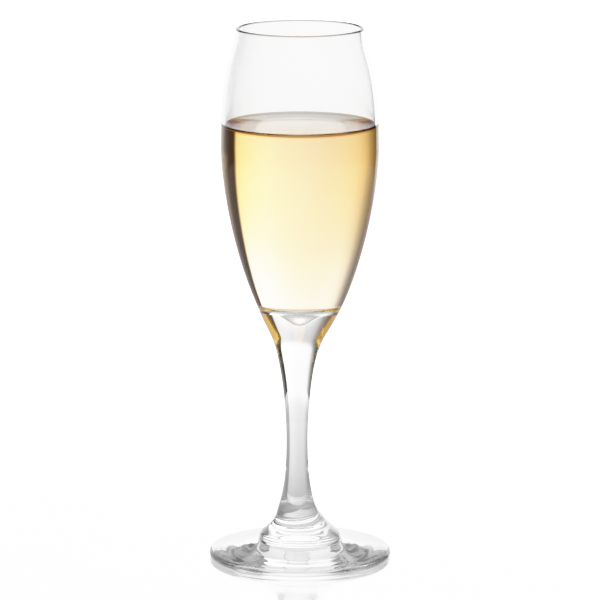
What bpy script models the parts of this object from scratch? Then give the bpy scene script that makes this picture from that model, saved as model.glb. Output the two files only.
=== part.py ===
"""A stemmed flute of clear glass, part filled with a pale drink.

The glass is three gathers fused end to end: the blown bowl, the drawn stem and the pressed foot. Each of
them, and the drink, is an outline in the XZ plane turned about the flute's upright axis. The origin is the
middle of the ring that the foot rests on, and +Z points up the axis. All lengths are in metres.

An outline's points run down its outer side. A lean is the radius gained for each metre of fall, so a
surface that closes in on the axis as it falls has a negative lean. A pull is how far a curve keeps to its
end direction before it bends away.
"""

import math

import bpy
from mathutils import Vector
from mathutils.geometry import interpolate_bezier

# The flute as a whole.
TOTAL_HEIGHT = 0.2064
GAP = 0.0003  # between pieces that are fused or that touch on the real glass

# Bowl, from the rim down.
RIM_RADIUS = 0.0244
RIM_PULL = 0.0090
WALL = 0.0014  # from the rim to the widest ring
WIDEST_RADIUS = 0.0303
WIDEST_HEIGHT = 0.1605
WIDEST_PULL_UP = 0.0333
WIDEST_PULL_DOWN = 0.0131

# Basin: the side wall turns in to a narrow shelf, and the shelf falls into a rounded dip on the axis.
BASIN_WALL = 0.0022  # where the side wall ends
BASIN_TOP_HEIGHT = 0.1000
SHELF_RADIUS = 0.0067
SHELF_HEIGHT = 0.0983
SHELF_SLOPE = math.radians(2.0)
BASIN_HEIGHT = 0.0943  # lowest point of the inside
CORNER_PULL = 0.0010
SHELF_PULL = 0.0030
DIP_PULL = 0.0027
TIP_PULL = 0.0023

# Neck: the bowl's curve turns into the stem's here, and the two are fused at the throat.
NECK_RADIUS = 0.01198
NECK_HEIGHT = 0.0900
NECK_LEAN = -0.550
NECK_PULL_UP = 0.0280
NECK_PULL_DOWN = 0.0033
THROAT_HEIGHT = 0.0864

# Stem.
FLARE_RADIUS = 0.00709  # where the neck's curve ends
FLARE_HEIGHT = 0.0771
FLARE_LEAN = -0.219
FLARE_PULL_UP = 0.0074
FLARE_PULL_DOWN = 0.0122
WAIST_RADIUS = 0.004125
WAIST_HEIGHT = 0.0462
WAIST_PULL_UP = 0.0040
WAIST_PULL_DOWN = 0.0161

# Hub: the ring where the stem is fused to the foot.
HUB_RADIUS = 0.0118
HUB_HEIGHT = 0.0123
HUB_LEAN = 1.08
HUB_PULL_UP = 0.0080
HUB_PULL_DOWN = 0.0032

# Foot.
SHOULDER_RADIUS = 0.0157  # where the hub's side stands upright
SHOULDER_HEIGHT = 0.0078
SHOULDER_PULL = 0.0012
FILLET_RADIUS = 0.0170  # where the fillet under the shoulder meets the top face
FILLET_HEIGHT = 0.0064
FILLET_SLOPE = math.radians(14.0)
FILLET_PULL = 0.0008
FOOT_RADIUS = 0.0352
FOOT_EDGE_RADIUS = 0.0014  # half the thickness at the edge
FOOT_SLOPE = math.radians(9.0)  # fall of the top face towards the edge
FOOT_PULL = 0.0060
REST_INNER_RADIUS = 0.0295  # the flat ring that touches the table runs from here to the edge
HOLLOW_HEIGHT = 0.0016  # rise of the underside in the middle
HOLLOW_PULL = 0.0100

# Drink.
CONTACT_HEIGHT = 0.1700  # where its skin meets the wall
MENISCUS_CLIMB = 0.0020
MENISCUS_FADE = 0.0018
MENISCUS_WIDTH = 0.0080

# Mesh fineness.
TURN_STEPS = 48
LONG_STEPS = 12
SHORT_STEPS = 8
EDGE_STEPS = 6
MERGE_DISTANCE = 0.00001

DOWN = Vector((0.0, 0.0, -1.0))
INWARD = Vector((-1.0, 0.0, 0.0))
NAME = "champagne_flute"


def spot(radius, height):
    """A point of an outline."""
    return Vector((radius, 0.0, height))


def falling(lean):
    """The unit direction down a surface with this lean."""
    return Vector((lean, 0.0, -1.0)).normalized()


def sloping(angle):
    """The unit direction outwards down a surface that falls at this angle."""
    return Vector((math.cos(angle), 0.0, -math.sin(angle)))


def curve(start, start_way, start_pull, end, end_way, end_pull, steps):
    """A smooth curve that leaves start along one way and arrives at end along another."""
    start_handle = start + start_way * start_pull
    end_handle = end - end_way * end_pull
    return interpolate_bezier(start, start_handle, end_handle, end, steps + 1)


def arc(centre, radius, first_angle, last_angle, steps):
    """Part of a circle. Angles are measured from +X towards +Z."""
    points = []
    for step in range(steps + 1):
        angle = first_angle + (last_angle - first_angle) * step / steps
        points.append(centre + radius * Vector((math.cos(angle), 0.0, math.sin(angle))))
    return points


def joined(*runs):
    """Runs of points put end to end, without repeating the point that two runs share."""
    points = list(runs[0])
    for run in runs[1:]:
        shared = (run[0] - points[-1]).length < MERGE_DISTANCE
        points.extend(run[1:] if shared else run)
    return points


def moved_in(points, distance_at):
    """The points of a falling curve moved towards the axis, square to the curve, each by its own distance."""
    moved = []
    for index, here in enumerate(points):
        before = points[max(index - 1, 0)]
        after = points[min(index + 1, len(points) - 1)]
        way = (after - before).normalized()
        moved.append(here + Vector((way.z, 0.0, -way.x)) * distance_at(here.z))
    return moved


def split_at(points, height):
    """The parts of a falling curve over and under a height, both ending exactly there."""
    index = next(index for index, here in enumerate(points) if here.z < height)
    above, under = points[index - 1], points[index]
    cut = above.lerp(under, (above.z - height) / (above.z - under.z))
    return points[:index] + [cut], [cut] + points[index:]


def wall_at(height):
    """The bowl's wall thickness: even from the rim to the widest ring, then thicker towards the basin."""
    depth = (WIDEST_HEIGHT - height) / (WIDEST_HEIGHT - BASIN_TOP_HEIGHT)
    depth = min(max(depth, 0.0), 1.0)
    return WALL + (BASIN_WALL - WALL) * depth**2


def neck_side():
    """The smooth turn from the bowl's outside into the stem's."""
    neck = spot(NECK_RADIUS, NECK_HEIGHT)
    flare = spot(FLARE_RADIUS, FLARE_HEIGHT)
    return curve(
        neck, falling(NECK_LEAN), NECK_PULL_DOWN, flare, falling(FLARE_LEAN), FLARE_PULL_UP, SHORT_STEPS
    )


def bowl_outer_side():
    """The outside of the bowl, from the middle of the rim's rounding down to the throat."""
    rim = spot(RIM_RADIUS, TOTAL_HEIGHT - WALL / 2)
    widest = spot(WIDEST_RADIUS, WIDEST_HEIGHT)
    neck = spot(NECK_RADIUS, NECK_HEIGHT)
    upper = curve(rim, DOWN, RIM_PULL, widest, DOWN, WIDEST_PULL_UP, SHORT_STEPS)
    lower = curve(widest, DOWN, WIDEST_PULL_DOWN, neck, falling(NECK_LEAN), NECK_PULL_UP, LONG_STEPS)
    return joined(upper, lower, split_at(neck_side(), THROAT_HEIGHT)[0])


def bowl_inner_side():
    """The inside of the bowl, from the rim down to the lowest point, on the axis."""
    wall = moved_in(bowl_outer_side(), wall_at)
    wall[0] = spot(RIM_RADIUS - WALL, TOTAL_HEIGHT - WALL / 2)
    side = [here for here in wall if here.z > BASIN_TOP_HEIGHT]
    way = (side[-1] - side[-2]).normalized()
    shelf = spot(SHELF_RADIUS, SHELF_HEIGHT)
    inward = Vector((-math.cos(SHELF_SLOPE), 0.0, -math.sin(SHELF_SLOPE)))
    corner = curve(side[-1], way, CORNER_PULL, shelf, inward, SHELF_PULL, EDGE_STEPS)
    floor = spot(0.0, BASIN_HEIGHT)
    dip = curve(shelf, inward, DIP_PULL, floor, INWARD, TIP_PULL, SHORT_STEPS)
    return joined(side, corner, dip)


def bowl_outline():
    inner = list(reversed(bowl_inner_side()))
    outer = bowl_outer_side()
    rim_middle = inner[-1].lerp(outer[0], 0.5)
    rim = arc(rim_middle, WALL / 2, math.pi, 0.0, EDGE_STEPS)
    return joined(inner, rim, outer, [spot(0.0, THROAT_HEIGHT)])


def stem_outline():
    """From just under the throat down to just over the hub, with a flat end at each."""
    neck = split_at(neck_side(), THROAT_HEIGHT - GAP)[1]
    waist = spot(WAIST_RADIUS, WAIST_HEIGHT)
    bottom = spot(HUB_RADIUS - HUB_LEAN * GAP, HUB_HEIGHT + GAP)
    upper = curve(neck[-1], falling(FLARE_LEAN), FLARE_PULL_DOWN, waist, DOWN, WAIST_PULL_UP, SHORT_STEPS)
    lower = curve(waist, DOWN, WAIST_PULL_DOWN, bottom, falling(HUB_LEAN), HUB_PULL_UP, SHORT_STEPS)
    return joined([spot(0.0, neck[0].z)], neck, upper, lower, [spot(0.0, bottom.z)])


def foot_outline():
    """The hub and its shoulder, the falling top face, the rounded edge and the slightly hollow underside."""
    hub = spot(HUB_RADIUS, HUB_HEIGHT)
    shoulder = spot(SHOULDER_RADIUS, SHOULDER_HEIGHT)
    fillet = spot(FILLET_RADIUS, FILLET_HEIGHT)
    fillet_way = sloping(FILLET_SLOPE)
    edge_middle = spot(FOOT_RADIUS - FOOT_EDGE_RADIUS, FOOT_EDGE_RADIUS)
    edge = arc(edge_middle, FOOT_EDGE_RADIUS, math.pi / 2 - FOOT_SLOPE, -math.pi / 2, EDGE_STEPS)
    side = curve(hub, falling(HUB_LEAN), HUB_PULL_DOWN, shoulder, DOWN, SHOULDER_PULL, EDGE_STEPS)
    turn = curve(shoulder, DOWN, FILLET_PULL, fillet, fillet_way, FILLET_PULL, EDGE_STEPS)
    top = curve(fillet, fillet_way, FOOT_PULL, edge[0], sloping(FOOT_SLOPE), FOOT_PULL, SHORT_STEPS)
    rest_inner = spot(REST_INNER_RADIUS, 0.0)
    middle = spot(0.0, HOLLOW_HEIGHT)
    hollow = curve(rest_inner, INWARD, HOLLOW_PULL, middle, INWARD, HOLLOW_PULL, EDGE_STEPS)
    return joined([spot(0.0, HUB_HEIGHT)], side, turn, top, edge, hollow)


def drink_outline():
    """The skin with its raised rim, then the side and floor, which keep a gap to the bowl."""
    side = split_at(moved_in(bowl_inner_side(), lambda height: GAP), CONTACT_HEIGHT)[1]
    side[-1] = spot(0.0, BASIN_HEIGHT + GAP)
    level = CONTACT_HEIGHT - MENISCUS_CLIMB
    skin = [spot(0.0, level)]
    for step in range(EDGE_STEPS + 1):
        back = MENISCUS_WIDTH * (1.0 - step / EDGE_STEPS) ** 2
        rise = MENISCUS_CLIMB * math.exp(-back / MENISCUS_FADE)
        skin.append(spot(side[0].x - back, level + rise))
    return joined(skin, side)


def clear_scene():
    for thing in list(bpy.data.objects):
        bpy.data.objects.remove(thing, do_unlink=True)


def clear_material(name, colour, refraction):
    """A see-through material with a colour and a refractive index."""
    material = bpy.data.materials.new(name)
    material.use_nodes = True
    shader = material.node_tree.nodes["Principled BSDF"]
    shader.inputs["Base Color"].default_value = (*colour, 1.0)
    shader.inputs["Roughness"].default_value = 0.0
    shader.inputs["Metallic"].default_value = 0.0
    shader.inputs["IOR"].default_value = refraction
    shader.inputs["Transmission Weight"].default_value = 1.0
    return material


def turned(name, outline, material, collection):
    """An outline turned once about the Z axis, as a closed body with smooth shading."""
    mesh = bpy.data.meshes.new(name)
    edges = [(index, index + 1) for index in range(len(outline) - 1)]
    mesh.from_pydata(outline, edges, [])
    mesh.materials.append(material)
    body = bpy.data.objects.new(name, mesh)
    collection.objects.link(body)
    turn = body.modifiers.new("turn", "SCREW")
    turn.axis = "Z"
    turn.angle = math.tau
    turn.steps = TURN_STEPS
    turn.render_steps = TURN_STEPS
    turn.use_merge_vertices = True
    turn.merge_threshold = MERGE_DISTANCE
    turn.use_smooth_shade = True
    return body


def build():
    clear_scene()
    collection = bpy.data.collections.new(NAME)
    bpy.context.scene.collection.children.link(collection)
    glass_colour = (0.97, 0.98, 0.98)
    glass_refraction = 1.52
    drink_colour = (0.98, 0.89, 0.60)
    drink_refraction = 1.34
    outlines = {"bowl": bowl_outline(), "stem": stem_outline(), "foot": foot_outline()}
    for name, outline in outlines.items():
        glass = clear_material(name + "_glass", glass_colour, glass_refraction)
        turned(name, outline, glass, collection)
    drink = clear_material("wine_liquid", drink_colour, drink_refraction)
    turned("wine", drink_outline(), drink, collection)


build()
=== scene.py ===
"""The looks of the flute: fine turned glass, a pale drink, a white table and soft studio light."""

import math

import bpy
import numpy as np
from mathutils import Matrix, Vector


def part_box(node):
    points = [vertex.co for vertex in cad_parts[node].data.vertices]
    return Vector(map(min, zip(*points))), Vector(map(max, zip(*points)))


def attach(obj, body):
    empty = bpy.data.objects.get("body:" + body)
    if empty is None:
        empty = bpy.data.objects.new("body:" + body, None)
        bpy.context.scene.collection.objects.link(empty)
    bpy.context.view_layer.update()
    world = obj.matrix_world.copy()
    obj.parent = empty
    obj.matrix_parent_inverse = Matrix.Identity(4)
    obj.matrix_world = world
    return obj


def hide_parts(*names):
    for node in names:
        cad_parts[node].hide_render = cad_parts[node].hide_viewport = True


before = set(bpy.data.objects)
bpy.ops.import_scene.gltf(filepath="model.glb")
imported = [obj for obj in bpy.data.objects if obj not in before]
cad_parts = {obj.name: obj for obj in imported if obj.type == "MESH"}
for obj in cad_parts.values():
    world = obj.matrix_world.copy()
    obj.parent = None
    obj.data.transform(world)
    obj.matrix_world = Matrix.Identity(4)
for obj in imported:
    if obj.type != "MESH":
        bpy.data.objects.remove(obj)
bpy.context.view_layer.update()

# ---------------------------------------------------------------- sizes, in metres
BOWL_LOW, BOWL_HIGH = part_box("bowl")
FOOT_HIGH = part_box("foot")[1]
DRINK_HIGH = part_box("wine")[1]

# A pull is how far a smooth curve keeps its direction at that end. A lean is the change in
# radius per metre of fall.
TOTAL_HEIGHT = BOWL_HIGH.z
RIM_RADIUS = 0.0244
RIM_PULL = 0.0090
WALL = 0.0014
WIDEST_RADIUS = BOWL_HIGH.x
WIDEST_HEIGHT = 0.1605
WIDEST_PULL_UP = 0.0333
WIDEST_PULL_DOWN = 0.0131

BASIN_WALL = 0.0022
BASIN_TOP_HEIGHT = 0.1000
SHELF_RADIUS = 0.0067
SHELF_HEIGHT = 0.0983
SHELF_SLOPE = math.radians(2.0)
BASIN_HEIGHT = 0.0943
CORNER_PULL = 0.0010
SHELF_PULL = 0.0030
DIP_PULL = 0.0027
TIP_PULL = 0.0023

NECK_RADIUS = 0.01198
NECK_HEIGHT = 0.0900
NECK_LEAN = -0.550
NECK_PULL_UP = 0.0280
NECK_PULL_DOWN = 0.0033
THROAT_HEIGHT = BOWL_LOW.z  # where bowl and stem are fused

FLARE_RADIUS = 0.00709
FLARE_HEIGHT = 0.0771
FLARE_LEAN = -0.219
FLARE_PULL_UP = 0.0074
FLARE_PULL_DOWN = 0.0122
WAIST_RADIUS = 0.004125
WAIST_HEIGHT = 0.0462
WAIST_PULL_UP = 0.0040
WAIST_PULL_DOWN = 0.0161

HUB_RADIUS = 0.0118
HUB_HEIGHT = FOOT_HIGH.z  # where stem and foot are fused
HUB_LEAN = 1.08
HUB_PULL_UP = 0.0080
HUB_PULL_DOWN = 0.0032
SHOULDER_RADIUS = 0.0157  # where the hub's side stands upright
SHOULDER_HEIGHT = 0.0078
SHOULDER_PULL = 0.0012
FILLET_RADIUS = 0.0170  # where the fillet under the shoulder meets the foot's top face
FILLET_HEIGHT = 0.0064
FILLET_SLOPE = math.radians(14.0)
FILLET_PULL = 0.0008

FOOT_RADIUS = FOOT_HIGH.x
FOOT_EDGE_RADIUS = 0.0014
FOOT_SLOPE = math.radians(9.0)
FOOT_PULL = 0.0060
REST_INNER_RADIUS = 0.0295
HOLLOW_HEIGHT = 0.0016
HOLLOW_PULL = 0.0100

CONTACT_HEIGHT = DRINK_HIGH.z  # where the drink's skin meets the wall
MENISCUS_CLIMB = 0.0020
CAPILLARY = 0.0022  # sets how fast a still liquid's climb at a wall fades
FILM = 0.00003  # between the drink's side and the glass, too thin to see

STEM_OFFSET = -0.00115  # a hand-drawn stem stands a little to one side of the glass's axis
OFFSET_STARTS = (0.104, 0.074)  # it eases in between these heights
OFFSET_ENDS = (0.0115, 0.021)  # and out between these

# ---------------------------------------------------------------- fineness of the meshes
SEGMENTS = 192
RING_STEP = 0.0006
FINE_STEP = RING_STEP / 100
LEAST_STEPS = 8
ARC_STEPS = 24
SKIN_ROWS = 40
LEAST_RISE = 0.01  # of the climb, where the drink's skin is taken as level
SAME_PLACE = 1e-6
ON_AXIS = 1e-7

DOWN = np.array((0.0, -1.0))
INWARD = np.array((-1.0, 0.0))

# ---------------------------------------------------------------- glass
GLASS_INDEX = 1.52
RIPPLE = 0.000004  # how deep the hand-turned glass is rippled
FOOT_RIPPLE = 0.00017
RING_DENSITY = 260.0  # turned rings, per metre
RING_DETAIL = 0.0
WAVE_DENSITY = 12.0
WAVE_DETAIL = 2.0
WAVE_SHARE = 2.0
SMEAR_DENSITY = 45.0
SMEAR_DETAIL = 4.0
DULL_RANGE = (0.5, 0.75)  # of the smears' noise
SMEAR_ROUGHNESS = 0.012
GREY_RANGE = (0.35, 0.75)
SMEAR_TINT = 0.012
OUTLINE_SHADE = (0.80, 0.97)  # painted shade: how edge-on the glass is where its outline starts to darken, and ends
OUTLINE_SHADE_GREY = 0.7
HUB_GLOW = 0.8  # a painted glow that the stem's foot end gives back

# ---------------------------------------------------------------- drink
DRINK_INDEX = 1.34
DRINK_COLOUR = (0.985, 0.81, 0.52)
DRINK_DENSITY = 30.0
EDGE_SHADE_LOSS = (0.0, 0.35, 1.3)  # painted shade: red, green and blue lost towards the drink's edges, where its side is seen edge-on
EDGE_SHADE_LIMIT = 0.3
EDGE_SHADE_HEIGHTS = (0.108, 0.158)  # the painted edge shade grows between these heights
UNEVEN_DENSITY = 60.0
UNEVEN_DETAIL = 3.0
UNEVEN_LEAST = 0.9
UNEVEN_SPREAD = 0.2
STEEP = (0.35, 0.5)  # the upward part of a direction that is steep
# painted shade: green and blue lost on the drink's underside near the basin's corner, for light
# that climbs into it
CORNER_SHADE_LOSS = (0.0, 0.04, 0.5)
CORNER_SHADE_RADII = (0.0045, 0.0080)
CORNER_SHADE_BLUR = 0.0002
# painted shade: a dark band just under the drink's skin, on the side towards the eye
SKIN_SHADE_LOSS = (0.23, 0.38, 0.68)
SKIN_SHADE_WIDTH = 0.0019

# ---------------------------------------------------------------- studio: angles in degrees
TABLE_REACH = 0.85
TABLE_SIDES = 96
TABLE_DROP = 0.00005  # the table lies this far under the foot
TABLE_OWN_LIGHT = 0.32
TABLE_MIRROR = 0.95
TABLE_ROUGHNESS = (0.11, 0.15)
TABLE_DENSITY = 25.0
TABLE_DETAIL = 4.0
TABLE_NOISE = (0.3, 0.7)

# The panel behind the glass: (bearing, level).
BACKLIGHT = [
    (-180, 0.6), (-125, 0.6), (-105, 0.4), (-90, 0.1), (-60, 0.12), (-50, 0.3), (-38, 0.78),
    (-33, 1.15), (-28, 1.38), (-20, 1.56), (-8, 1.6), (2, 1.7), (10, 1.85), (20, 2.05), (30, 2.0),
    (34.5, 1.7), (36.5, 0.1), (40, 0.03), (75, 0.03), (110, 0.3), (180, 0.6),
]
PANEL_SLANT = 0.4  # the panel's edges lean by this much bearing per rise
SLANT_RISES = (-6, 10)  # and only between these rises
ASIDE = (60, 90)  # past these bearings no rise dims the light

# How the panel's light changes with rise, and the table's: (rise, share).
RISE = [
    (-14, 0.0), (-12.5, 0.7), (-11, 0.85), (-8, 0.93), (-4, 1.02), (0, 1.05), (6, 1.15),
    (13, 1.15), (20, 0.8), (27, 0.64), (34, 0.8), (42, 1.8), (60, 1.8),
]
TABLE_FALL = [
    (-90, 0.9), (-50, 0.8), (-38, 0.68), (-25, 0.78), (-20, 0.88), (-14, 1.0), (-9, 1.1),
    (-7, 1.3), (-5, 1.7), (0, 1.8),
]
TABLE_FLOOR = 0.44  # the table's light is this much
TABLE_SHARE = 0.23  # and this share of the panel's
UNDER = (-14, -11)  # past the table's edge its light fades out between these rises

SIDE_LIGHT = 0.22  # a dim light to the right of the panel
SIDE_SLANT = 0.8
SIDE_BEARINGS = (46, 52)  # it fades in between these bearings
SIDE_RISES = (-7.5, -5.5)  # and between these rises

# ---------------------------------------------------------------- camera and tone
SENSOR = 36.0  # in millimetres, and so is the lens
LENS = 242.0
CAMERA_PLACE = (0.0, -1.52, 0.4075)
CAMERA_FALL = math.radians(11.4)  # how far down the camera looks
CAMERA_CLIP = (0.05, 20.0)

TONE_WHITE = 2.0
TONE = [(0.35, 0.35), (0.7, 0.69), (0.9, 0.855), (1.1, 0.94), (1.4, 0.98)]  # brightness, shown
SKY_WHITE = TONE_WHITE + 0.5  # bright enough to show as plain white


# ---------------------------------------------------------------- outlines, (radius, height) rows
def spot(radius, height):
    return np.array((radius, height))


def falling(lean):
    """The direction that falls with this change in radius per fall."""
    way = np.array((lean, -1.0))
    return way / np.linalg.norm(way)


def sloping(angle):
    """The direction outwards and down at this angle."""
    return np.array((math.cos(angle), -math.sin(angle)))


def curve(start, start_way, start_pull, end, end_way, end_pull, spacing=RING_STEP):
    """A smooth curve with points about this far apart."""
    first, last = start + start_way * start_pull, end - end_way * end_pull
    steps = max(LEAST_STEPS, int(np.linalg.norm(end - start) / spacing))
    t = np.linspace(0.0, 1.0, steps + 1)[:, None]
    near = (1 - t) ** 3 * start + 3 * (1 - t) ** 2 * t * first
    return near + 3 * (1 - t) * t**2 * last + t**3 * end


def arc(centre, radius, first_angle, last_angle):
    angles = np.linspace(first_angle, last_angle, ARC_STEPS + 1)
    return centre + radius * np.stack((np.cos(angles), np.sin(angles)), axis=1)


def joined(*runs):
    """Runs end to end, with a shared point kept once."""
    rows = [runs[0]]
    for run in runs[1:]:
        shared = np.linalg.norm(run[0] - rows[-1][-1]) < SAME_PLACE
        rows.append(run[1:] if shared else run)
    return np.concatenate(rows)


def moved_in(points, distance):
    """A falling outline moved towards the axis by a distance across its own direction."""
    way = np.gradient(points, axis=0)
    way /= np.linalg.norm(way, axis=1, keepdims=True)
    return points + np.stack((way[:, 1], -way[:, 0]), axis=1) * np.reshape(distance, (-1, 1))


def split_at(points, height):
    """The parts of a falling curve over and under a height, both ending exactly there."""
    index = int(np.argmax(points[:, 1] < height))
    above, under = points[index - 1], points[index]
    share = (above[1] - height) / (above[1] - under[1])
    cut = above + (under - above) * share
    return np.vstack((points[:index], cut)), np.vstack((cut, points[index:]))


def evenly(points):
    """The same curve with its points evenly spaced, about RING_STEP apart."""
    lengths = np.linalg.norm(np.diff(points, axis=0), axis=1)
    along = np.concatenate(([0.0], np.cumsum(lengths)))
    wanted = np.linspace(0.0, along[-1], max(LEAST_STEPS, int(along[-1] / RING_STEP)) + 1)
    return np.stack([np.interp(wanted, along, points[:, column]) for column in (0, 1)], axis=1)


def flat_end(edge, outward=False):
    """A flat disc from an edge point to the axis, or from the axis to the edge."""
    middle = spot(0.0, edge[1])
    return np.stack((middle, edge) if outward else (edge, middle))


def wall_at(heights):
    """The bowl's wall thickness, which grows towards the basin."""
    depth = np.clip((WIDEST_HEIGHT - heights) / (WIDEST_HEIGHT - BASIN_TOP_HEIGHT), 0.0, 1.0)
    return WALL + (BASIN_WALL - WALL) * depth**2


def neck_sides():
    """The turn from the bowl's outside into the stem's, as two runs that meet at the throat."""
    start, start_way = spot(NECK_RADIUS, NECK_HEIGHT), falling(NECK_LEAN)
    end, end_way = spot(FLARE_RADIUS, FLARE_HEIGHT), falling(FLARE_LEAN)
    fine = curve(start, start_way, NECK_PULL_DOWN, end, end_way, FLARE_PULL_UP, FINE_STEP)
    over, under = split_at(fine, THROAT_HEIGHT)
    return evenly(over), evenly(under)


def bowl_outer_side():
    rim = spot(RIM_RADIUS, TOTAL_HEIGHT - WALL / 2)
    widest = spot(WIDEST_RADIUS, WIDEST_HEIGHT)
    neck = spot(NECK_RADIUS, NECK_HEIGHT)
    upper = curve(rim, DOWN, RIM_PULL, widest, DOWN, WIDEST_PULL_UP)
    lower = curve(widest, DOWN, WIDEST_PULL_DOWN, neck, falling(NECK_LEAN), NECK_PULL_UP)
    return joined(upper, lower, neck_sides()[0])


def bowl_inner_side():
    """The inside from the rim down: the wall, the basin's shelf and the dip in its middle."""
    outer = bowl_outer_side()
    wall = moved_in(outer, wall_at(outer[:, 1]))
    wall[0] = spot(RIM_RADIUS - WALL, TOTAL_HEIGHT - WALL / 2)
    side = wall[wall[:, 1] > BASIN_TOP_HEIGHT]
    way = (side[-1] - side[-2]) / np.linalg.norm(side[-1] - side[-2])
    shelf = spot(SHELF_RADIUS, SHELF_HEIGHT)
    inward = np.array((-math.cos(SHELF_SLOPE), -math.sin(SHELF_SLOPE)))
    corner = curve(side[-1], way, CORNER_PULL, shelf, inward, SHELF_PULL)
    dip = curve(shelf, inward, DIP_PULL, spot(0.0, BASIN_HEIGHT), INWARD, TIP_PULL)
    return joined(side, corner, dip)


def bowl_runs():
    """(points, material) for the wet and dry inside, the rim, the outside and the fused end."""
    dry, wet = split_at(bowl_inner_side(), CONTACT_HEIGHT)
    outer = bowl_outer_side()
    rim = arc((dry[0] + outer[0]) / 2, WALL / 2, math.pi, 0.0)
    return [(wet[::-1], 1), (dry[::-1], 0), (rim, 0), (outer, 0), (flat_end(outer[-1]), 2)]


def stem_runs():
    """(points, material) for the stem's top end, its side and its bottom end."""
    neck = neck_sides()[1]
    waist = spot(WAIST_RADIUS, WAIST_HEIGHT)
    bottom = spot(HUB_RADIUS, HUB_HEIGHT)
    upper = curve(neck[-1], falling(FLARE_LEAN), FLARE_PULL_DOWN, waist, DOWN, WAIST_PULL_UP)
    lower = curve(waist, DOWN, WAIST_PULL_DOWN, bottom, falling(HUB_LEAN), HUB_PULL_UP)
    return [(flat_end(neck[0], True), 1), (joined(neck, upper, lower), 0), (flat_end(bottom), 2)]


def foot_runs():
    """(points, material) for the foot's fused end, its top, edge, resting ring and hollow."""
    hub = spot(HUB_RADIUS, HUB_HEIGHT)
    edge_middle = spot(FOOT_RADIUS - FOOT_EDGE_RADIUS, FOOT_EDGE_RADIUS)
    edge = arc(edge_middle, FOOT_EDGE_RADIUS, math.pi / 2 - FOOT_SLOPE, -math.pi / 2)
    shoulder = spot(SHOULDER_RADIUS, SHOULDER_HEIGHT)
    fillet = spot(FILLET_RADIUS, FILLET_HEIGHT)
    upper = curve(hub, falling(HUB_LEAN), HUB_PULL_DOWN, shoulder, DOWN, SHOULDER_PULL)
    turn = curve(shoulder, DOWN, FILLET_PULL, fillet, sloping(FILLET_SLOPE), FILLET_PULL)
    top = curve(fillet, sloping(FILLET_SLOPE), FOOT_PULL, edge[0], sloping(FOOT_SLOPE), FOOT_PULL)
    rest = np.stack((edge[-1], spot(REST_INNER_RADIUS, 0.0)))
    middle = spot(0.0, HOLLOW_HEIGHT)
    hollow = curve(rest[1], INWARD, HOLLOW_PULL, middle, INWARD, HOLLOW_PULL)
    side = joined(upper, turn, top)
    return [(flat_end(hub, True), 1), (side, 0), (edge, 0), (rest, 0), (hollow, 0)]


def meniscus_reach(rise):
    """How far from an upright wall, plus a constant, a still liquid stands this high."""
    share = rise / CAPILLARY
    return CAPILLARY * (np.arccosh(2.0 / share) - np.sqrt(4.0 - share**2))


def drink_runs():
    """(points, part) for the drink's skin, which climbs at the wall, and for its side."""
    side = split_at(moved_in(bowl_inner_side(), FILM), CONTACT_HEIGHT)[1]
    side[-1] = spot(0.0, BASIN_HEIGHT + FILM)
    rise = MENISCUS_CLIMB * np.geomspace(LEAST_RISE, 1.0, SKIN_ROWS)
    back = meniscus_reach(rise) - meniscus_reach(MENISCUS_CLIMB)
    level = CONTACT_HEIGHT - MENISCUS_CLIMB
    skin = np.stack((side[0][0] - back, level + rise), axis=1)
    return [(np.vstack((spot(0.0, skin[0][1]), skin)), 0), (side, 1)]


# ---------------------------------------------------------------- meshes
def outward_normals(points):
    """A run's (radius, height) normals, true to its curve where its rings are unevenly spaced."""
    steps = np.diff(points, axis=0)
    lengths = np.linalg.norm(steps, axis=1, keepdims=True)
    ways = steps / lengths
    if len(ways) > 1:
        inner = ways[:-1] * lengths[1:] + ways[1:] * lengths[:-1]
        inner /= np.linalg.norm(inner, axis=1, keepdims=True)
        ways = np.vstack((2 * ways[0] - inner[0], inner, 2 * ways[-1] - inner[-1]))
    else:
        ways = np.vstack((ways, ways))
    ways /= np.linalg.norm(ways, axis=1, keepdims=True)
    return np.stack((-ways[:, 1], ways[:, 0]), axis=1)


def eased(height, start, end):
    """0 at start, 1 at end and a smooth step between."""
    share = min(max((height - start) / (end - start), 0.0), 1.0)
    return share * share * (3.0 - 2.0 * share)


def offset_at(height):
    """How far the glass stands to one side of the axis at a height."""
    return STEM_OFFSET * eased(height, *OFFSET_STARTS) * eased(height, *OFFSET_ENDS)


def offset_slope(height, reach=0.0001):
    return (offset_at(height + reach) - offset_at(height - reach)) / (2.0 * reach)


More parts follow.
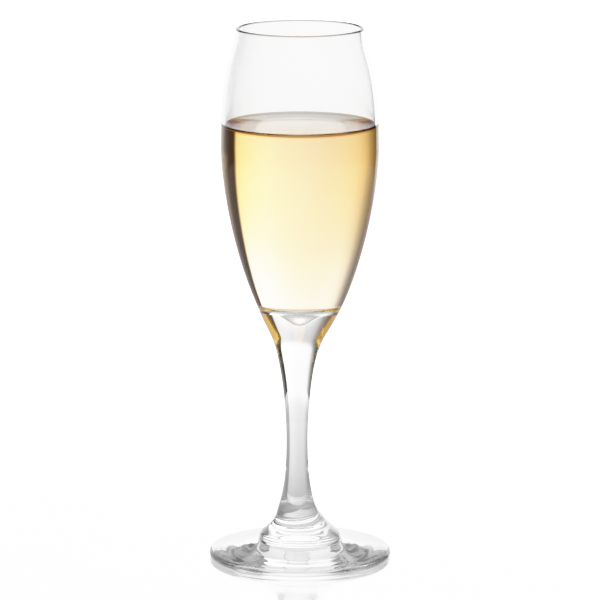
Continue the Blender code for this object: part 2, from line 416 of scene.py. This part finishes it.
def turned(name, runs, materials, one_material=False):
    """Runs of outline turned about the Z axis as one closed mesh, with exact normals on each run.
    With one material, the faces of part 0 are marked as skin instead."""
    corners, faces, slots, normals = [], [], [], []
    angles = np.linspace(0.0, math.tau, SEGMENTS, endpoint=False)
    round_xy = np.stack((np.cos(angles), np.sin(angles)), axis=1)

    def ring(radius, height):
        start = len(corners)
        aside = offset_at(height)
        if radius < ON_AXIS:
            corners.append((aside, 0.0, height))
            return [start] * SEGMENTS
        corners.extend((radius * x + aside, radius * y, height) for x, y in round_xy)
        return list(range(start, start + SEGMENTS))

    def strip(last, here, index, slot, across, leans):
        for turn in range(SEGMENTS):
            after = (turn + 1) % SEGMENTS
            loop = [
                (last[turn], index - 1, turn),
                (here[turn], index, turn),
                (here[after], index, after),
                (last[after], index - 1, after),
            ]
            if last[turn] == last[after]:
                loop.pop(3)
            if here[turn] == here[after]:
                loop.pop(2)
            faces.append([corner for corner, _, _ in loop])
            slots.append(slot)
            for _, row, side in loop:
                out, up = across[row]
                x, y = round_xy[side]
                normals.append((out * x, out * y, up - leans[row] * out * x))

    last = None
    for points, slot in runs:
        across = outward_normals(points)
        leans = [offset_slope(height) for _, height in points]
        for index, (radius, height) in enumerate(points):
            here = last if index == 0 and last is not None else ring(radius, height)
            if index > 0:
                strip(last, here, index, slot, across, leans)
            last = here

    mesh = bpy.data.meshes.new(name)
    mesh.from_pydata(corners, [], faces)
    mesh.polygons.foreach_set("use_smooth", [True] * len(faces))
    for material in materials:
        mesh.materials.append(material)
    if one_material:
        mark = mesh.attributes.new("skin", "FLOAT", "FACE")
        mark.data.foreach_set("value", [1.0 - slot for slot in slots])
    else:
        mesh.polygons.foreach_set("material_index", slots)
    mesh.normals_split_custom_set(normals)
    piece = bpy.data.objects.new(name, mesh)
    bpy.context.scene.collection.objects.link(piece)
    return piece


# ---------------------------------------------------------------- node helpers
def add(tree, kind, sockets=None, **properties):
    """A new shader node with these properties; each named socket gets a value or a link."""
    node = tree.nodes.new("ShaderNode" + kind)
    for name, value in properties.items():
        setattr(node, name, value)
    for name, value in (sockets or {}).items():
        if isinstance(value, bpy.types.NodeSocket):
            tree.links.new(value, node.inputs[name])
        else:
            node.inputs[name].default_value = value
    return node


def new_tree(owner, kind="OutputMaterial"):
    """The emptied node tree of a material or world, and its output node."""
    owner.use_nodes = True
    owner.node_tree.nodes.clear()
    return owner.node_tree, add(owner.node_tree, kind)


def maths(tree, operation, *values):
    return add(tree, "Math", dict(enumerate(values)), operation=operation).outputs[0]


def product(tree, first, *others):
    for other in others:
        first = maths(tree, "MULTIPLY", first, other)
    return first


def step_between(tree, value, low, high, to_low=0.0, to_high=1.0):
    """A smooth step of value from to_low at low to to_high at high."""
    sockets = {
        "Value": value, "From Min": low, "From Max": high, "To Min": to_low, "To Max": to_high,
    }
    return add(tree, "MapRange", sockets, interpolation_type="SMOOTHSTEP").outputs["Result"]


def step_angle(tree, value, degrees, to_low=0.0, to_high=1.0):
    low, high = degrees
    return step_between(tree, value, math.radians(low), math.radians(high), to_low, to_high)


def profile(tree, value, stops):
    """A smooth curve through (angle in degrees, level) stops."""
    first, last = stops[0][0], stops[-1][0]
    peak = max(level for angle, level in stops)
    sockets = {
        "Value": value, "From Min": math.radians(first), "From Max": math.radians(last),
    }
    share = add(tree, "MapRange", sockets).outputs["Result"]
    shape = add(tree, "FloatCurve", {"Value": share})
    line = shape.mapping.curves[0]
    line.points[0].location = (0.0, stops[0][1] / peak)
    line.points[1].location = (1.0, stops[-1][1] / peak)
    for angle, level in stops[1:-1]:
        line.points.new((angle - first) / (last - first), level / peak)
    shape.mapping.update()
    return product(tree, shape.outputs[0], peak)


def noise(tree, place, density, detail):
    sockets = {"Vector": place, "Scale": density, "Detail": detail}
    return add(tree, "TexNoise", sockets).outputs["Fac"]


def object_place(tree):
    return add(tree, "TexCoord").outputs["Object"]


def height_of(tree, place):
    return add(tree, "SeparateXYZ", {0: place}).outputs[2]


def radius_of(tree, place):
    """The distance from the Z axis."""
    flat = add(tree, "VectorMath", {0: place, 1: (1.0, 1.0, 0.0)}, operation="MULTIPLY")
    return add(tree, "VectorMath", {0: flat.outputs[0]}, operation="LENGTH").outputs["Value"]


def facing(tree):
    """0 where the surface faces the eye and 1 where it is seen edge-on."""
    return add(tree, "LayerWeight").outputs["Facing"]


def toward_eye(tree):
    """The upward part of the direction back along the light's path to the eye."""
    return height_of(tree, add(tree, "NewGeometry").outputs["Incoming"])


def climbing(tree):
    """1 where the light's path, followed from the eye, goes upwards."""
    return maths(tree, "LESS_THAN", toward_eye(tree), 0.0)


def mixed(tree, share, first, second):
    """The first shader where share is 0 and the second where it is 1."""
    return add(tree, "MixShader", {0: share, 1: first, 2: second}).outputs[0]


def see_through(tree, colour=(1.0, 1.0, 1.0, 1.0)):
    return add(tree, "BsdfTransparent", {"Color": colour}).outputs[0]


def glow(tree, strength):
    return add(tree, "Emission", {"Strength": strength}).outputs[0]


def glass(tree, index, extra=None):
    sockets = {
        "Base Color": (1.0, 1.0, 1.0, 1.0),
        "Roughness": 0.0,
        "IOR": index,
        "Transmission Weight": 1.0,
    }
    return add(tree, "BsdfPrincipled", {**sockets, **(extra or {})}).outputs[0]


# ---------------------------------------------------------------- materials
def rippled(tree, place, depth):
    """Normals of hand-turned glass: rings about the axis and slow waves across them."""
    radius, height = radius_of(tree, place), height_of(tree, place)
    about = add(tree, "CombineXYZ", {0: radius, 2: height}).outputs[0]
    rings = noise(tree, about, RING_DENSITY, RING_DETAIL)
    waves = noise(tree, place, WAVE_DENSITY, WAVE_DETAIL)
    relief = maths(tree, "MULTIPLY_ADD", waves, WAVE_SHARE, rings)
    return add(tree, "Bump", {"Distance": depth, "Height": relief}).outputs[0]


def clear_glass(name, index, ripple=RIPPLE):
    """Clear glass with faint ripples, smears that dull and grey it, and painted shade that darkens
    its outline where it is seen edge-on.
    """
    material = bpy.data.materials.new(name)
    tree, out = new_tree(material)
    place = object_place(tree)
    smear = noise(tree, place, SMEAR_DENSITY, SMEAR_DETAIL)
    grey = step_between(tree, smear, *GREY_RANGE, 1.0, 1.0 - SMEAR_TINT)
    # painted shade: the glass greys where it is seen edge-on, for its dark outline
    outline = step_between(tree, facing(tree), *OUTLINE_SHADE, 1.0, OUTLINE_SHADE_GREY)
    shaded_tint = add(tree, "CombineColor", dict.fromkeys(range(3), product(tree, grey, outline)))
    extra = {
        "Base Color": shaded_tint.outputs[0],
        "Roughness": step_between(tree, smear, *DULL_RANGE, 0.0, SMEAR_ROUGHNESS),
        "Normal": rippled(tree, place, ripple),
    }
    tree.links.new(glass(tree, index, extra), out.inputs["Surface"])
    return material


def fused_end():
    """The flat ends where two gathers are fused: light goes straight through."""
    material = bpy.data.materials.new("fused_end")
    tree, out = new_tree(material)
    tree.links.new(see_through(tree), out.inputs["Surface"])
    return material


def fused_hub():
    """The end where stem and foot are fused. Light that climbs into the stem here ends on a painted
    glow of plain white, so the drink's colour isn't mirrored in the foot."""
    material = bpy.data.materials.new("fused_hub")
    tree, out = new_tree(material)
    # painted light: paths that climb into the stem end on a plain white glow
    end = mixed(tree, climbing(tree), see_through(tree), glow(tree, HUB_GLOW))
    tree.links.new(end, out.inputs["Surface"])
    return material


def painted_edge_shade(tree, place, height):
    """Painted shade that deepens the drink's colour towards its edges, where its side is seen
    edge-on: most near its skin, a little unevenly, and not along steep paths."""
    near_skin = step_between(tree, height, *EDGE_SHADE_HEIGHTS)
    spread = noise(tree, place, UNEVEN_DENSITY, UNEVEN_DETAIL)
    uneven = maths(tree, "MULTIPLY_ADD", spread, UNEVEN_SPREAD, UNEVEN_LEAST)
    edge = maths(tree, "MINIMUM", facing(tree), EDGE_SHADE_LIMIT)
    level = step_between(tree, toward_eye(tree), *STEEP, 1.0, 0.0)
    return product(tree, edge, near_skin, uneven, level)


def painted_corner_shade(tree, place, height):
    """Painted shade: 1 on the outer part of the drink's underside, for light that climbs into it,
    which deepens the gold seen through the basin's corner.
    """
    top = (BASIN_TOP_HEIGHT - CORNER_SHADE_BLUR, BASIN_TOP_HEIGHT + CORNER_SHADE_BLUR)
    low = step_between(tree, height, *top, 1.0, 0.0)
    out = step_between(tree, radius_of(tree, place), *CORNER_SHADE_RADII)
    return product(tree, low, out, climbing(tree))


def painted_skin_shade(tree, height):
    """Painted shade: 1 just under the skin on the side towards the eye, a dark band where the climb
    looks deepest.
    """
    back = add(tree, "NewGeometry").outputs["Backfacing"]
    band = (CONTACT_HEIGHT - SKIN_SHADE_WIDTH, CONTACT_HEIGHT - SKIN_SHADE_WIDTH / 2)
    return product(tree, step_between(tree, height, *band), maths(tree, "SUBTRACT", 1.0, back))


def drink():
    """A pale drink: a clear skin, a side that only tints, with painted shade at its edges, its
    corner and under its skin, and a colour that grows with depth.
    """
    material = bpy.data.materials.new("pale_drink")
    tree, out = new_tree(material)
    place = object_place(tree)
    height = height_of(tree, place)
    # painted shade, as amounts: towards the edges, at the basin's corner and just under the skin
    amounts = (
        painted_edge_shade(tree, place, height),
        painted_corner_shade(tree, place, height),
        painted_skin_shade(tree, height),
    )
    shaded_tint = add(tree, "CombineColor")
    for channel, *losses in zip(shaded_tint.inputs, EDGE_SHADE_LOSS, CORNER_SHADE_LOSS, SKIN_SHADE_LOSS):
        pairs = zip(amounts, losses)
        kept = [maths(tree, "MULTIPLY_ADD", amount, -loss, 1.0) for amount, loss in pairs]
        tree.links.new(product(tree, *kept), channel)
    skin = add(tree, "Attribute", attribute_name="skin").outputs["Fac"]
    surface = mixed(tree, skin, see_through(tree, shaded_tint.outputs[0]), glass(tree, DRINK_INDEX))
    tree.links.new(surface, out.inputs["Surface"])
    sockets = {"Color": (*DRINK_COLOUR, 1.0), "Density": DRINK_DENSITY}
    tree.links.new(add(tree, "VolumeAbsorption", sockets).outputs[0], out.inputs["Volume"])
    return material


def white_table():
    """White gloss: the camera sees it shine and mirror, and the glass sees it glow with painted
    light, its own white and a painted sheen from the panel.
    """
    material = bpy.data.materials.new("table_white")
    tree, out = new_tree(material)
    uneven = noise(tree, object_place(tree), TABLE_DENSITY, TABLE_DETAIL)
    sockets = {
        "Roughness": step_between(tree, uneven, *TABLE_NOISE, *TABLE_ROUGHNESS),
        "Color": (TABLE_MIRROR, TABLE_MIRROR, TABLE_MIRROR, 1.0),
    }
    gloss = add(tree, "BsdfGlossy", sockets).outputs[0]
    near = add(tree, "AddShader", {0: glow(tree, TABLE_OWN_LIGHT), 1: gloss}).outputs[0]
    incoming = add(tree, "NewGeometry").outputs["Incoming"]
    onward = add(tree, "VectorMath", {0: incoming, "Scale": -1.0}, operation="SCALE").outputs[0]
    spaces = {"vector_type": "VECTOR", "convert_from": "WORLD", "convert_to": "CAMERA"}
    seen = add(tree, "VectorTransform", {0: onward}, **spaces).outputs[0]
    bearing, rise = angles(tree, seen, onward)
    # painted light: for the glass the table glows, its own white plus a painted sheen from the
    # panel, by direction
    painted_glow = glow(tree, table_light(tree, backlight(tree, bearing, rise), rise))
    direct = add(tree, "LightPath").outputs["Is Camera Ray"]
    tree.links.new(mixed(tree, direct, painted_glow, near), out.inputs["Surface"])
    return material


# ---------------------------------------------------------------- studio
def angles(tree, seen, direction):
    """The bearing of a direction from the camera's line of sight, and its rise."""
    across = add(tree, "SeparateXYZ", {0: seen}).outputs
    bearing = maths(tree, "ARCTAN2", across[0], across[2])
    return bearing, maths(tree, "ARCSINE", height_of(tree, direction))


def backlight(tree, bearing, rise):
    """The bright panel behind the glass and the dark sides of the studio, by bearing."""
    lowest, highest = [math.radians(angle) for angle in SLANT_RISES]
    slant = maths(tree, "MAXIMUM", maths(tree, "MINIMUM", rise, highest), lowest)
    upright = maths(tree, "SUBTRACT", bearing, product(tree, slant, PANEL_SLANT))
    return profile(tree, upright, BACKLIGHT)


def table_light(tree, wall, rise):
    """The table's brightness as the glass sees it: its own white and its sheen from the panel."""
    level = maths(tree, "ADD", product(tree, wall, TABLE_SHARE), TABLE_FLOOR)
    return product(tree, level, profile(tree, rise, TABLE_FALL))


def side_light(tree, bearing, rise):
    """The dim light that fills part of the studio's dark right side."""
    upright = maths(tree, "SUBTRACT", bearing, product(tree, rise, SIDE_SLANT))
    level = step_angle(tree, upright, SIDE_BEARINGS, 0.0, SIDE_LIGHT)
    return product(tree, level, step_angle(tree, rise, SIDE_RISES))


def studio_light():
    """Light for the glass by direction, and plain white where the camera looks past it."""
    world = bpy.data.worlds.new("studio")
    bpy.context.scene.world = world
    tree, out = new_tree(world, "OutputWorld")
    where = add(tree, "TexCoord").outputs
    bearing, rise = angles(tree, where["Camera"], where["Generated"])
    wall = backlight(tree, bearing, rise)
    aside = step_angle(tree, maths(tree, "ABSOLUTE", bearing), ASIDE)
    high = product(tree, wall, maths(tree, "MAXIMUM", profile(tree, rise, RISE), aside))
    high = maths(tree, "MAXIMUM", high, side_light(tree, bearing, rise))
    under = step_angle(tree, rise, UNDER, 1.0, 0.0)
    low = product(tree, table_light(tree, wall, rise), under)
    sockets = {
        "Factor": add(tree, "LightPath").outputs["Is Camera Ray"],
        "A": maths(tree, "MAXIMUM", high, low),
        "B": SKY_WHITE,
    }
    strength = add(tree, "Mix", sockets).outputs[0]
    back = add(tree, "Background", {"Strength": strength})
    tree.links.new(back.outputs[0], out.inputs["Surface"])


def add_table():
    turns = [math.tau * side / TABLE_SIDES for side in range(TABLE_SIDES)]
    corners = [(TABLE_REACH * math.cos(turn), TABLE_REACH * math.sin(turn), 0.0) for turn in turns]
    mesh = bpy.data.meshes.new("table")
    mesh.from_pydata(corners, [], [list(range(TABLE_SIDES))])
    mesh.materials.append(white_table())
    table = bpy.data.objects.new("table", mesh)
    table.location.z = -TABLE_DROP
    table.visible_glossy = False
    bpy.context.scene.collection.objects.link(table)


def add_camera():
    camera = bpy.data.cameras.new("camera")
    camera.sensor_width = SENSOR
    camera.lens = LENS
    camera.clip_start, camera.clip_end = CAMERA_CLIP
    holder = bpy.data.objects.new("camera", camera)
    holder.location = CAMERA_PLACE
    holder.rotation_euler = (math.pi / 2 - CAMERA_FALL, 0.0, 0.0)
    bpy.context.scene.collection.objects.link(holder)
    bpy.context.scene.camera = holder


def set_tone():
    """A gentle shoulder, so the brightest glass still keeps some shape."""
    view = bpy.context.scene.view_settings
    view.view_transform = "Standard"
    view.use_curve_mapping = True
    tone = view.curve_mapping
    tone.white_level = (TONE_WHITE, TONE_WHITE, TONE_WHITE)
    line = tone.curves[3]  # red, green and blue together
    for brightness, shown in TONE:
        line.points.new(brightness / TONE_WHITE, shown)
    tone.update()


def set_light_paths():
    """Enough bounces for light to cross both walls of the glass and the drink."""
    cycles = bpy.context.scene.cycles
    cycles.max_bounces = 32
    cycles.transmission_bounces = 32
    cycles.glossy_bounces = 16
    cycles.transparent_max_bounces = 48
    cycles.volume_bounces = 2
    cycles.caustics_refractive = True
    cycles.caustics_reflective = True


# ---------------------------------------------------------------- build
dry_glass = clear_glass("clear_glass", GLASS_INDEX)
wet_glass = clear_glass("wet_glass", GLASS_INDEX / DRINK_INDEX)
foot_glass = clear_glass("foot_glass", GLASS_INDEX, FOOT_RIPPLE)
end = fused_end()
hub_end = fused_hub()
pieces = {
    "bowl": turned("flute_bowl", bowl_runs(), [dry_glass, wet_glass, end]),
    "stem": turned("flute_stem", stem_runs(), [dry_glass, end, hub_end]),
    "foot": turned("flute_foot", foot_runs(), [foot_glass, end]),
    "wine": turned("flute_wine", drink_runs(), [drink()], one_material=True),
}
for node, piece in pieces.items():
    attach(piece, "root")
    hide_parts(node)

studio_light()
add_table()
add_camera()
set_tone()
set_light_paths()
